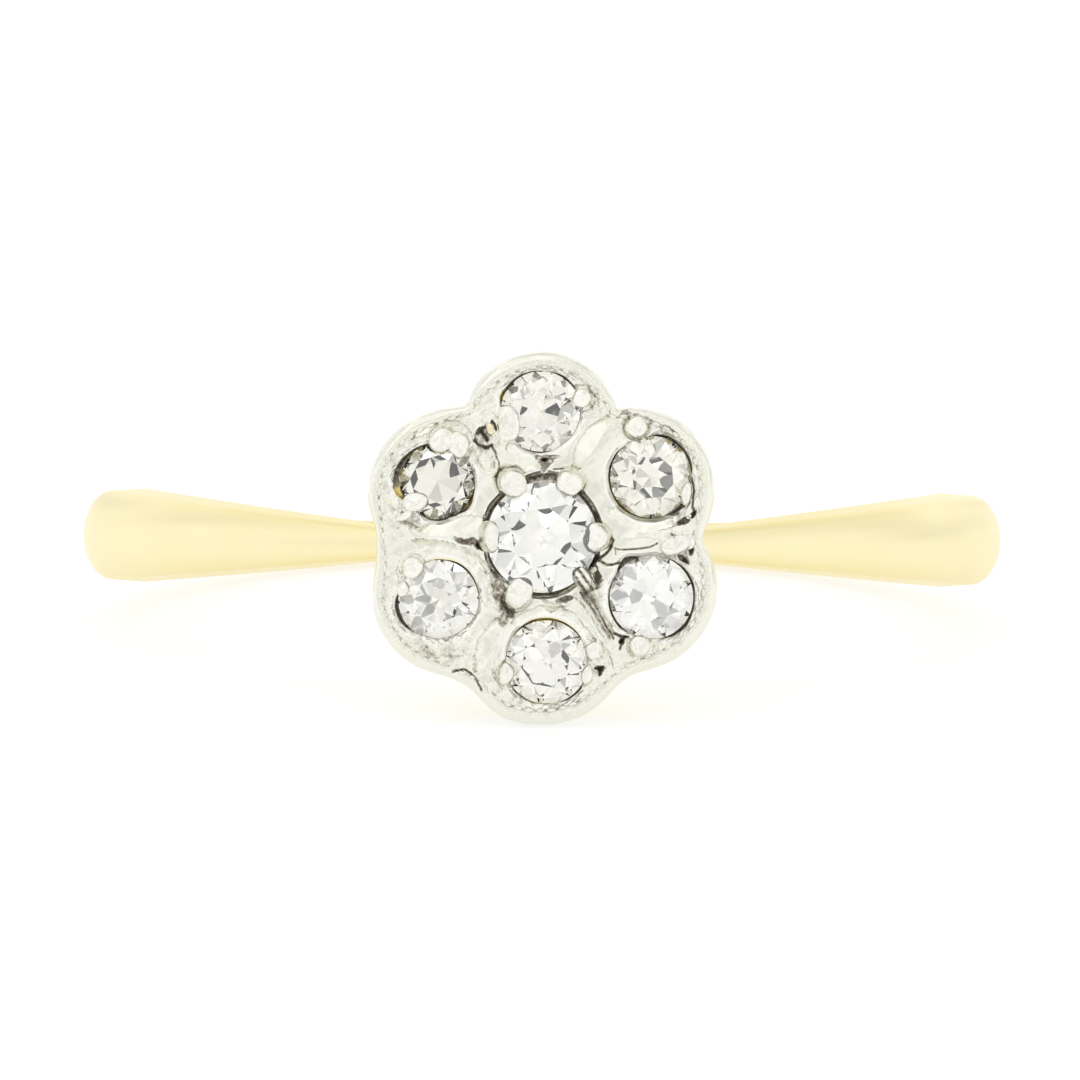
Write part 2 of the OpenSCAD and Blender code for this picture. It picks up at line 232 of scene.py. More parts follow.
# How far each seat's mouth stands outside its stone, by bearing: centre, then petals.
# Below 0 its metal is pushed over the stone.
LIPS = [
    {0: 3, 12: 5, 35: 6, 52: 7, 62: 7, 72: 16, 80: 20, 90: 17, 100: 13, 108: 10, 118: 7, 132: 5,
     150: 7.5, 162: 6, 172: 2, 190: 1, 205: 5, 220: 3, 235: -2, 250: 2, 262: 5.5, 285: 6, 300: 3,
     320: -2, 340: 0, 350: 2},
    {0: -2, 30: -1, 38: 3, 55: 4.5, 72: 2, 85: 0.5, 95: 1.5, 120: 3.5, 145: 4.5, 160: 7, 170: 2,
     180: -3, 230: -3, 250: 2, 270: 3, 285: 1, 300: -2},
    {0: 0, 20: -2, 50: -3, 80: 1, 110: 2, 135: 5, 165: 11, 185: 12, 200: 9, 212: -2, 240: -3,
     258: 2, 275: 4, 290: 1, 306: 3, 316: 8, 327: 7, 338: 3},
    {0: 1, 25: 2, 45: 4, 62: 4, 80: 1.5, 95: 1.5, 110: -2, 165: -2, 178: 5, 190: 8, 212: 7, 232: 1,
     245: -4, 320: -4, 340: -1},
    {0: -3, 25: -2, 40: 2, 60: 3.5, 85: 5, 110: 5.5, 130: 3, 145: 0, 170: -3, 205: -2, 222: 2.5,
     250: 2, 270: -1, 285: 0, 300: 3, 322: 4.5, 335: 0},
    {0: 3.5, 20: 5, 42: 5, 60: 2, 80: 0, 106: 1, 117: 9, 125: 13, 136: 8, 146: 1, 165: 2, 182: 3,
     200: 4, 225: 4.5, 245: -2, 262: -3, 280: 0, 298: 5, 322: 7, 340: 4},
    {0: -2, 15: 3, 30: 4.5, 48: 5, 66: 7, 84: 4, 96: -2, 128: -2, 145: 2, 165: 3.5, 190: 3, 215: 4,
     240: 3, 270: 2, 290: 1.5, 305: 5, 325: 8, 340: 0},
]
# Where the gold under the platinum shows in a seat's edge: petal, and then bearing and half width
# in degrees.
GILT = [(0, 158, 10), (1, 197, 11), (1, 334, 16), (2, 82, 22), (2, 25, 14), (3, 92, 34),
        (3, 250, 18), (5, 226, 24)]

# How much of each milgrain bead is left, by bearing.
BEADS = {0: 70, 18: 90, 35: 60, 50: 100, 60: 90, 72: 100, 88: 40, 105: 90, 118: 100, 135: 70,
         160: 90, 180: 70, 200: 50, 225: 50, 245: 60, 262: 90, 280: 100, 300: 80, 315: 70, 335: 90,
         350: 80}

# Bright cuts of the graver: x, y, half length, half width, turn, depth at the steep side, which is
# on the left when looking along the turn.
CUTS = rows_of([
    [-183, -40, 92, 24, -21, 16], [-175, 22, 85, 20, 8, 8], [102, 192, 75, 28, 58, 9.6],
    [126, -113, 72, 17, 109, 14.4], [-112, -222, 62, 20, 68, 9.6], [-42, 166, 42, 26, -35, 8],
    [55, -172, 75, 17, -38, 9.6], [205, 42, 75, 28, -10, 8], [-15, -162, 55, 16, 18, 8],
    [-230, 235, 50, 14, 40, 6.4], [275, 195, 50, 12, 128, 6.4]], turn=4)
# Lines cut or worn in the plate: width, depth, soil and painted shade, and then x and y of each
# place along them.
GROOVES = [
    [10, 3, 38, 86, -115, 108, -146, 142, -200], [2.2, 6, 60, 80, -112, 103, -145, 142, -208],
    [2.2, 6, 75, 90, -110, 115, -145, 136, -185, 150, -208],
    [1.8, 5, 40, 96, -112, 118, -144, 152, -200], [2, 4, 40, 72, -120, 95, -152, 130, -204],
    [2.5, 6, 70, 98, -72, 100, -90, 95, -110],
    [2.7, 7, 90, 108, 52, 117, 35, 136, 14, 147, -5, 140, -24, 130, -34, 112, -45, 98, -62],
    [2, 5, 70, 142, -18, 158, -24, 195, -22, 220, -20, 238, -10],
    [2.8, 6, 90, 116, -48, 135, -55, 160, -52], [1.5, 3, 50, 150, -22, 152, -36, 162, -46],
    [2.2, 5, 90, 156, -92, 146, -96, 141, -106, 141, -120], [3, 5, 60, 265, 10, 295, -5, 302, -25],
    [2, 5, 90, 308, 125, 313, 100, 310, 70, 314, 56, 298, 40],
    [2, 4, 70, 212, 250, 232, 238, 260, 230, 280, 210],
    [2.2, 8, 90, -184, -279, -172, -275, -160, -273, -148, -278, -136, -292, -122, -317],
    [2.2, 5, 70, -105, 188, -97, 173, -90, 154, -87, 138, -95, 118],
    [3, 3, 40, -110, 180, -100, 160, -97, 140],
    [3.2, 9, 100, -140, 200, -134, 192, -127, 187, -114, 184, -105, 190],
    [3, 9, 100, -135, 214, -126, 223, -118, 228], [3.4, 10, 100, -129, 219, -120, 210, -114, 198],
    [2, 5, 60, -143, 212, -136, 200], [2.4, 8, 100, -106, 238, -98, 231, -95, 222],
    [2, 5, 70, -98, 124, -80, 144, -55, 146, -36, 133], [1.5, 4, 80, 22, 140, 50, 143, 78, 142],
    [2, 3, 50, 162, 235, 175, 255, 210, 258], [1.5, 3, 40, 62, 310, 95, 308, 115, 285, 120, 255],
    [1.5, 3, 40, -310, 5, -280, 30, -255, 20], [1.5, 3, 40, -290, -35, -300, -70, -295, -95],
    [1.5, 3, 40, -250, -210, -220, -250, -180, -245, -150, -245],
    [1.5, 3, 50, 90, -205, 120, -210, 140, -235, 150, -270],
    [1.5, 3, 40, -95, -250, -100, -285, -80, -315], [2.2, 8, 100, 152, -197, 166, -203, 180, -204],
    [2.4, 8, 90, 172, -204, 166, -215, 162, -229]]
# Pits: x, y, half length, half width, turn, depth, soil and painted shade.
PITS = rows_of([
    [-120, 210, 20, 15, 50, 5, 40], [8.5, 165, 24, 5, 0, 7, 46], [7, 156, 14, 8, 0, 9, 50],
    [5, 146, 6, 8, 0, 8, 46], [3, 161, 5, 4.5, 0, 14, 90], [-150, -10, 30, 6.5, -13, 10, 60],
    [-126, -19, 10, 6, -20, 16, 90], [-88, -105, 32, 14, 105, 5, 50],
    [-70, -144, 22, 12, 115, 9, 64], [-65, -130, 7, 6, 60, 14, 90], [-80, -172, 14, 9, 80, 4, 50],
    [164, -213, 6, 4, 60, 14, 85], [291, 34, 12, 6, 12, 14, 65], [312, 49, 7, 3.5, 60, 12, 80],
    [268, 51, 10, 5, 0, 12, 65], [120, -268, 9, 4, 5, 14, 75], [120, -275, 4, 7, 10, 12, 75],
    [306, -20, 5, 13, 20, 10, 70], [292, -44, 13, 4.5, -35, 10, 75],
    [-234, -235, 18, 9, -20, 4, 36], [-273, 35, 24, 15, -30, 4, 42],
    [104, -48, 15, 5.5, 48, 16, 95], [46, -127, 17, 5, 15, 8, 55], [298, -42, 6, 13, 20, 6, 50],
    [172, 255, 14, 7, 10, 6, 50]], turn=4)
# Rough ground where the metal was pushed over the stones and never smoothed: x, y, radius.
ROUGH = rows_of([
    [100, 275, 35], [-185, 200, 45], [-120, 180, 35], [-285, 50, 40], [200, 230, 35],
    [290, 70, 35], [-80, -135, 40], [-275, -80, 35], [-185, -230, 45], [280, -20, 40],
    [110, -255, 40], [200, -220, 30], [-80, -290, 30], [95, -120, 30], [-100, 220, 40],
    [300, -100, 30], [260, -200, 35], [-30, -330, 30], [-95, -100, 30], [50, -135, 20]])


def polar(radius, angle):
    """Points at a distance and an angle from the middle."""
    return np.stack([radius * np.cos(angle), radius * np.sin(angle)], -1)


def bearing_of(place):
    """The angle at which a place lies from the middle."""
    return np.arctan2(place[..., 1], place[..., 0])


def spin(x, y, angle):
    """A place turned about the middle: x cos - y sin, and x sin + y cos."""
    c, s = np.cos(angle), np.sin(angle)
    return x * c - y * s, x * s + y * c


def raised(flat, z):
    """Flat places with their heights beside them."""
    return np.concatenate([flat, np.broadcast_to(z, flat.shape[:-1])[..., None]], -1)


def by_bearing(angle, table):
    """What a table in hundredths gives at an angle: a straight line between its two nearest
    bearings."""
    values = np.array(list(table.values())) / 100
    return np.interp(np.degrees(angle), list(table), values, period=360)


def bell(distance, width):
    """A smooth hump, exp(-(distance / width) squared): 1 at no distance, near 0 at two widths."""
    return np.exp(-(distance / width) ** 2)


def path_distance(points, path):
    """Distance to a path of straight pieces: to the foot of the perpendicular on each piece, held
    between the piece's ends, and the least of these."""
    a, d = path[:-1], np.diff(path, axis=0)
    rel = points[..., None, :] - a
    t = np.clip((rel * d).sum(-1) / (d * d).sum(-1), 0, 1)
    return np.linalg.norm(rel - t[..., None] * d, axis=-1).min(-1)


def in_oval(place, x, y, long, wide, turn):
    """How far along and across an oval a place lies: it is taken from the oval's middle, turned
    back, and divided by the half length and the half width. The root of the sum of their squares
    is 1 on the oval's edge."""
    u, v = spin(place[..., 0] - x, place[..., 1] - y, -np.radians(turn))
    return u / long, v / wide


def outline(angle, inset, h):
    """Distance from the head's middle to the cup's edge, set in by inset. Six equal circles stand
    round the middle, and the edge is where a ray leaves the last one. Near a notch the ray's
    distance q from it in angle becomes the root of q squared plus the fill squared, which rounds
    the corner, and a bell-shaped nick is taken off. The table of wear is added."""
    k = np.round(angle / SIXTH).astype(int)
    q = angle - k * SIXTH
    fill, nick = np.moveaxis(NOTCHES[k % 6], -1, 0)
    near = bell(q, np.radians(9))
    off = SIXTH / 2 - np.hypot(q, np.radians(fill) * near)
    r = h.lobe_r - inset * (1 - 0.4 * near)
    edge = h.lobe_c * np.cos(off) + np.sqrt(np.maximum(r * r - (h.lobe_c * np.sin(off)) ** 2, 0))
    return edge + by_bearing(angle, EDGE) - nick * bell(q, np.radians(3.5))


def rim_line(angle, inset, h):
    """The outline set in by an inset that the table of rim widths stretches or narrows."""
    return outline(angle, inset * by_bearing(angle, RIM), h)


def grid_faces(rows, columns, first=0, round_rows=False, round_columns=True):
    """Four-sided faces between neighbouring rows and columns of points numbered row by row."""
    i = np.arange(rows if round_rows else rows - 1)[:, None]
    j = np.arange(columns if round_columns else columns - 1)[None]
    k, m = (i + 1) % rows, (j + 1) % columns
    corners = [i * columns + j, i * columns + m, k * columns + m, k * columns + j]
    return first + np.stack(np.broadcast_arrays(*corners), -1).reshape(-1, 4)


def weld(points, faces):
    """Merges points that agree to a hundred-thousandth of a millimetre."""
    _, keep, back = np.unique(np.round(points, 5), axis=0, return_index=True, return_inverse=True)
    back = back.reshape(-1)
    return points[keep], back[faces], keep


def place(name, data):
    """A new object in the scene."""
    obj = bpy.data.objects.new(name, data)
    bpy.context.scene.collection.objects.link(obj)
    return obj


def piece(name, points, faces, finish, slot, nodes, layers, smooth=True):
    """Makes an object of closed surfaces from points in the ring's frame, in millimetres, with its
    faces turned outwards, and makes its finish if no piece has it yet."""
    mesh = bpy.data.meshes.new(name)
    mesh.from_pydata(ORIGIN + points @ FRAME * MM, [],
                     [face for block in faces for face in block.tolist()])
    work = bmesh.new()
    work.from_mesh(mesh)
    bmesh.ops.recalc_face_normals(work, faces=work.faces)
    work.to_mesh(mesh)
    work.free()
    mesh.polygons.foreach_set("use_smooth", np.full(len(mesh.polygons), smooth))
    for key, values in layers.items():
        mesh.attributes.new(key, "FLOAT", "POINT").data.foreach_set(
            "value", values.astype(np.float32))
    mesh.materials.append(bpy.data.materials.get(finish.__name__) or finish())
    mesh.validate()
    mesh.update()
    obj = place(name, mesh)
    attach(obj, "root")
    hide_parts(*nodes)
    return obj


def cad_stone(name):
    """Middle, radius and girdle height of a CAD stone, from its corners in the ring's frame."""
    mesh = frame["nodes"][name].data
    p = np.empty(len(mesh.vertices) * 3)
    mesh.vertices.foreach_get("co", p)
    p = np.unique(np.round((p.reshape(-1, 3) - ORIGIN) / MM @ FRAME.T, 4), axis=0)
    level = 0.01  # corners that differ by less stand on one level or circle
    low = p[p[:, 2] < p[:, 2].min() + level]
    middle = low[:, :2].mean(0)
    r = np.linalg.norm(p[:, :2] - middle, axis=1)
    girdle = p[r > r.max() - level]
    top = p[p[:, 2] > p[:, 2].max() - level][0, :2] - middle
    return SimpleNamespace(name=name, at=middle, r=r.max(), z=girdle[:, 2].max(),
                           turn=bearing_of(top) - TURN / 16)


STONES = [cad_stone(name) for name in ["centre_stone", *PETAL_STONES]]


def lip_radius(k, bearing):
    """Radius of the seat's mouth round stone k: the stone's and what the table of lips gives
    between its bearings."""
    play = 0.004  # so that the metal and the stone never share a face
    return STONES[k].r + play + by_bearing(bearing, LIPS[k])


def waves(p, wavelength):
    """Uneven ground, some of a wavelength across: the mean of four sines of place, each running
    its own way and bent by another."""
    x, y = TURN * p[..., 0] / wavelength, TURN * p[..., 1] / wavelength
    return 0.25 * (np.sin(x + 1.3 * np.sin(0.7 * y)) + np.sin(y - 0.4 * x + 1.7 * np.sin(0.6 * x))
                   + np.sin(1.7 * x + 0.9 * y + 1.1 * np.sin(y)) + np.sin(1.9 * y - 1.3 * x))


def relief(p):
    """Height, dust and painted shade, roughness, and burnish and painted highlight of the cup's
    face. Between neighbouring petals it rises to a straight crest. A bright cut falls evenly
    across itself and ends in a step, and is as wide as 1 minus the square of the share of its
    length. Each groove or ring is bell-shaped, each pit has a flat bottom, and each claw and grain
    stands in a moat; grooves, rings, pits, moats and seat mouths are painted darker with dust and
    painted shade. Places are first moved about by two sets of waves, so that no edge is even. The
    upper edges of cuts and a ring round each seat are burnished and carry a painted highlight."""
    r = np.linalg.norm(p, axis=-1)
    angle = bearing_of(p)
    ray = angle - np.round(angle / SIXTH) * SIXTH
    flat = p
    p = p + 0.035 * np.stack([waves(p, 0.6), waves(p + 3, 0.6)], -1) \
        + 0.014 * np.stack([waves(p, 0.2), waves(p + 5, 0.2)], -1)
    crest_h, crest_w, crest_from, crest_to = 0.06, 0.42, 1.55, 3.1
    z = crest_h * np.clip(1 - np.abs(r * np.sin(ray)) / crest_w, 0, 1)
    z = z * np.clip((r - crest_from) / 0.4, 0, 1) * np.clip((crest_to - r) / 0.5, 0, 1)
    soil, rub = np.zeros_like(z), np.zeros_like(z)
    milgrain_r = 3.45  # the ground is rough near the thread
    rough = 0.6 * bell(r - milgrain_r, 0.35)
    for mx, my, size in ROUGH:
        rough = np.maximum(rough, bell(np.hypot(p[..., 0] - mx, p[..., 1] - my), size))
    for mx, my, long, wide, turn, depth in CUTS:
        u, v = in_oval(p, mx, my, long, wide, turn)
        v = v / np.maximum(1 - u * u, 0.02)
        step = 0.06  # width of its steep side as a share of its half width
        inside = np.clip((1 + step - v) / step, 0, 1) * (v > -1) * (np.abs(u) < 1)
        z = z - depth * (v + 1) / 2 * inside
        rough = rough * (1 - inside)
        rub = np.maximum(rub, 0.8 * bell((v - 1.12) * wide, 0.03) * (np.abs(u) < 0.95))
    for k, s in enumerate(STONES):
        rel = flat - s.at
        edge = np.linalg.norm(rel, axis=-1) - lip_radius(k, bearing_of(rel))
        z = z - 0.05 * np.clip(1 - edge / 0.08, 0, 1)
        soil = np.maximum(soil, 0.3 * bell(edge, 0.03))
        rub = np.maximum(rub, 0.7 * bell(edge - 0.07, 0.04))
    for row in GROOVES:
        width, depth, dirt_and_shade, *path = np.array(row) / 100
        d = path_distance(0.6 * flat + 0.4 * p, np.reshape(path, (-1, 2)))
        z = z - depth * bell(d, width)
        soil = np.maximum(soil, dirt_and_shade * bell(d, width * 1.2))
    for mx, my, size, width, depth, dirt_and_shade in RINGS:
        d = np.abs(np.hypot(flat[..., 0] - mx, flat[..., 1] - my) - size)
        z = z - depth * bell(d, width)
        soil = np.maximum(soil, dirt_and_shade * bell(d, width))
    for n, (mx, my, _, long, wide, _, turn, *_, moat) in enumerate([*CLAWS, *GRAINS]):
        # the ground swells up round a grain, and more soil and painted shade lie round a claw
        swell, dirt_and_shade = (0, 0.75) if n < len(CLAWS) else (0.06, 0.4)
        d = np.hypot(*in_oval(flat, mx, my, long, wide, turn))
        side = bearing_of(p - (mx, my))
        part = moat * (0.5 + 0.5 * np.sin(side + 2.4 * n + 0.7 * np.sin(2 * side + n)))
        moat_at, moat_depth = 1.08, 0.04
        z = z + swell * bell(d, 1.3) - moat_depth * part * bell(d - moat_at, 0.13)
        soil = np.maximum(soil, dirt_and_shade * part * bell(d - moat_at, 0.12))
    for *oval, depth, dirt_and_shade in PITS:
        d = np.hypot(*in_oval(p, *oval))
        z = z - depth * np.clip((1.3 - d) / 0.7, 0, 1)
        soil = np.maximum(soil, dirt_and_shade * np.clip((1.6 - d) / 0.6, 0, 1))
    z = z + 0.012 * waves(p, 0.9)
    z = z + rough * (0.03 * waves(flat, 0.27) + 0.02 * waves(flat + 7, 0.13))
    return z, np.clip(soil, 0, 1), rough, rub


def steps_round(n):
    """Angles round the head, n even steps in each sixth, so that every notch has one."""
    return np.concatenate([np.linspace(k * SIXTH, (k + 1) * SIXTH, n + 1)[:-1] for k in range(6)])


def cells(edge_of, split_r, counts):
    """Cuts a face with a petalled edge into a ring of points round each stone's part of it: a
    circle round the centre stone, and for each petal a stretch of the edge, the lines from its two
    notches in to the circle, and the arc between them. Neighbours share their points. The counts
    are the steps along the edge, along a line and along the arc."""
    out_n, side_n, in_n = counts
    rays = SIXTH * np.arange(7)
    outer = [np.linspace(rays[k], rays[k + 1], out_n + 1) for k in range(6)]
    outer = [polar(edge_of(a), a) for a in outer]
    t = np.linspace(0, 1, side_n + 1)[:, None]
    circle = polar(split_r, TURN * np.arange(6 * in_n) / (6 * in_n))
    sides = [outer[k][0] * (1 - t) + circle[k * in_n] * t for k in range(6)]
    rings = [circle]
    for petal in range(6):
        k = (petal + 1) % 6
        inner = circle[np.arange(k * in_n, (k + 1) * in_n + 1)[::-1] % (6 * in_n)]
        rings.append(np.concatenate([outer[k][:-1], sides[(k + 1) % 6][:-1], inner[:-1],
                                     sides[k][::-1][:-1]]))
    return rings


def add_node(tree, kind, inputs=None, **settings):
    """Adds a node with its settings, values and links."""
    item = tree.nodes.new("ShaderNode" + kind)
    for key, value in settings.items():
        setattr(item, key, value)
    join(tree, item, inputs or {})
    return item


def join(tree, item, inputs):
    """Sets a node's inputs, or joins them to another node's first output or to a given output."""
    for key, value in inputs.items():
        if isinstance(value, bpy.types.Node):
            value = value.outputs[0]
        if isinstance(value, bpy.types.NodeSocket):
            tree.links.new(value, item.inputs[key])
        else:
            item.inputs[key].default_value = value


def blank(name):
    """A new material, with its nodes, its shader and the object's own coordinates."""
    material = bpy.data.materials.new(name)
    material.use_nodes = True
    tree = material.node_tree
    where = add_node(tree, "TexCoord").outputs["Object"]
    return material, tree, tree.nodes["Principled BSDF"], where


def layer(tree, name):
    """What a piece's own attribute holds at each point."""
    return add_node(tree, "Attribute", attribute_name=name).outputs["Fac"]


def noise(tree, where, size, **inputs):
    """A cloudy pattern between 0 and 1, its clouds about a size in millimetres across."""
    inputs = {key.capitalize(): value for key, value in inputs.items()}
    return add_node(tree, "TexNoise", {"Vector": where, "Scale": 1 / (size * MM), **inputs})


def remap(tree, value, *ends):
    """Stretches the range between two values to that between two others, and holds its ends."""
    names = ("From Min", "From Max", "To Min", "To Max")
    return add_node(tree, "MapRange", {"Value": value, **dict(zip(names, ends))})


def mix(tree, amount, first, second):
    """The colour that lies an amount, from 0 to 1, of the way from the first to the second."""
    return add_node(tree, "MixRGB", {"Fac": amount, "Color1": first, "Color2": second})


def times(tree, first, second):
    """The product of two values."""
    return add_node(tree, "Math", {0: first, 1: second}, operation="MULTIPLY")


def bump(tree, height, strength, depth, **under):
    """Relief from a pattern of heights, its depth in millimetres, over another relief if given."""
    return add_node(tree, "Bump", {"Height": height, "Strength": strength, "Distance": depth * MM,
                                   **under})


def shade(colour, *shares):
    """A colour whose red, green and blue are each taken times a share."""
    return [*(np.array(colour[:3]) * shares), 1]


def polished_gold():
    """18 carat yellow gold, rolled, domed and polished by hand. Wear leaves it glossy, with fine
    scratches round the band that soften its reflections."""
    yellow = bpy.context.scene.ring_finishes.gold
    material, tree, shader, where = blank("polished_gold")
    # hairline scratches 0.03 mm apart and a millimetre or more long
    long = add_node(tree, "Mapping", {"Vector": where, "Scale": (0.06, 1, 0.06)})
    scratches = bump(tree, noise(tree, long, 0.06, detail=4), 0.06, 0.01)
    # cloudy wear some 1.5 mm across
    cloud = noise(tree, where, 1.5)
    tint = mix(tree, cloud, yellow, shade(yellow, 1, 0.99, 0.96))
    # the sides of the dome, and the band near the head and at its back, are painted a deeper
    # yellow as painted shade; the gallery is a deeper yellow throughout
    tint = mix(tree, layer(tree, "edge"), tint, shade(yellow, 0.96, 0.9, 0.64))
    join(tree, shader, {"Base Color": tint, "Metallic": 1, "Normal": scratches,
                        "Roughness": remap(tree, cloud, 0.3, 0.7, 0.36, 0.44)})
    return material


def worn_platinum_painted_light():
    """Platinum alloy, cut and polished by hand. It is greyish white and bright, with fine
    scratches on every face, dry brown dust and painted shade in the recesses, where the gold
    beneath shows in places, and burnish and painted highlights on its tops and upper edges."""
    f = bpy.context.scene.ring_finishes
    material, tree, shader, where = blank("worn_platinum_painted_light")
    soil, gilt, rough, rub = (layer(tree, name) for name in LAYERS)
    # rough ground of chips some 0.16 mm across, its hollows a little darker
    chip = noise(tree, where, 0.16, detail=3, roughness=0.6, distortion=0.8)
    darker_hollows = times(tree, remap(tree, chip, 0.52, 0.36, 0, 0.42), rough)
    # soil and painted shade break up in crumbs some 0.07 mm across
    crumb = noise(tree, where, 0.07, detail=3, roughness=0.6)
    amount = remap(tree, times(tree, soil, crumb), 0.14, 0.4, 0, 1)
    amount = add_node(tree, "Math", {0: amount, 1: darker_hollows}, operation="ADD", use_clamp=True)
    # cloudy tarnish some 0.8 mm across
    white = mix(tree, noise(tree, where, 0.8), shade(f.platinum, 0.97, 0.96, 0.9), f.platinum)
    # high spots are burnished and carry painted highlights in white, and gold shows in the edges
    # of some seats
    white = mix(tree, rub, white, linear("#fafaf5"))
    metal = mix(tree, gilt, white, shade(f.gold, 1, 0.94, 0.78))
    # thin soil and painted shade are pale, and where they are thick, dark and dull
    base = mix(tree, remap(tree, amount, 0, 0.65, 0, 1), metal, f.soil)
    base = mix(tree, remap(tree, amount, 0.6, 1, 0, 1), base, f.grime_and_shade)
    # scratches 0.05 mm apart, longer than wide, under the chips and the crust of soil and
    # painted shade
    turned = add_node(tree, "Mapping", {"Vector": where, "Scale": (0.25, 1, 1),
                                        "Rotation": (0, 0.6, 0)})
    fine = bump(tree, noise(tree, turned, 0.05, detail=4), 0.12, 0.012)
    coarse = bump(tree, times(tree, chip, rough), 1, 0.09, Normal=fine)
    join(tree, shader, {"Base Color": base, "Roughness": remap(tree, amount, 0, 1, 0.25, 0.75),
                        "Metallic": remap(tree, amount, 0.2, 1, 1, 0.25),
                        "Normal": bump(tree, amount, 0.5, 0.015, Normal=coarse)})
    return material


def cut_stone():
    """Colourless stone of the old round cut, polished to sharp facets. It bends light strongly, so
    it shows white and grey flashes of the room and little of its seat."""
    material, tree, shader, where = blank("cut_stone")
    # a faint unevenness of colour some 0.5 mm across
    tint = mix(tree, noise(tree, where, 0.5), linear("#fefefb"), linear("#fcfbf4"))
    # some of the seven are a little yellow
    tint = mix(tree, layer(tree, "warm"), tint, linear("#f8f6e4"))
    join(tree, shader, {"Base Color": tint, "Roughness": 0, "Transmission Weight": 1, "IOR": 2.42})
    return material


class RING_OT_band(bpy.types.Operator):
    """Makes the domed gold band"""
    bl_idname = "ring.band"
    bl_label = "Band"

    def execute(self, context):
        """A closed profile is carried round the finger by the angle a from the head. Its width
        goes from the side's to the neck's in proportion to 1 - sin a, and to the back's as a power
        of sin a. The outside is half an ellipse, the sides taper up to it, and the inside is flat
        with quarter-round edges. It is bent sideways as cos a squared."""
        b = sizes(context.scene.ring_band)
        end = np.radians(14.5)  # inside the gallery
        neck_sine = 0.318  # of the angle at which the neck's width is reached
        back_power = 3.6  # how late the band narrows towards the back
        a = np.linspace(end, TURN - end, b.turns)
        s, c = np.abs(np.sin(a)), np.cos(a)
        front = c > 0
        neck = np.minimum(1, (1 - s) / (1 - neck_sine))
        w = np.where(front, b.side_w - (b.side_w - b.neck_w) * neck,
                     b.back_w + (b.side_w - b.back_w) * s ** back_power) / 2
        t = np.where(front, b.side_t + (b.neck_t - b.side_t) * neck ** 2,
                     b.back_t + (b.side_t - b.back_t) * s ** 2)
        dome = b.dome_h * 2 * w / b.side_w
        edge = b.finger_r + t - dome
        w, dome, edge = w[:, None], dome[:, None], edge[:, None]
        e = np.linspace(np.pi, 0, 33)[None]
        q = np.linspace(0, np.pi / 2, 5)[None]
        r = b.round_r
        flat = np.linspace(1, -1, 7)[None, 1:-1]
        y = np.concatenate([b.taper * w * np.cos(e), w - r + r * np.cos(q), (w - r) * flat,
                            -(w - r) - r * np.sin(q)], 1)
        z = np.concatenate([edge + dome * np.sin(e),
                            b.finger_r + r - r * np.sin(q) + 0 * w, b.finger_r + 0 * w * flat,
                            b.finger_r + r - r * np.cos(q) + 0 * w], 1)
        y = y - (np.where(front, b.neck_drop, b.back_drop) * c ** 2)[:, None]
        points = np.stack([z * np.sin(a)[:, None], y, z * c[:, None]], -1)
        n, m = points.shape[:2]
        ends = points[[0, -1]].mean(1)
        j = np.arange(m)
        caps = [np.stack([j, (j + 1) % m, np.full(m, n * m)], -1),
                np.stack([(j + 1) % m + (n - 1) * m, j + (n - 1) * m, np.full(m, n * m + 1)], -1)]
        # painted shade: the sides of the dome get a deeper yellow, most near the head and at the
        # back
        across = np.abs(np.concatenate([np.cos(e), 1 + 0 * q, flat, 1 + 0 * q], 1))
        worn = (across ** 4 * (0.3 + 0.7 * c[:, None] ** 2)).reshape(-1)
        piece("gold_band", np.concatenate([points.reshape(-1, 3), ends]),
              [grid_faces(n, m), *caps], polished_gold, "gold", ["band"],
              {"edge": np.concatenate([worn, [1, 1]])})
        return {"FINISHED"}


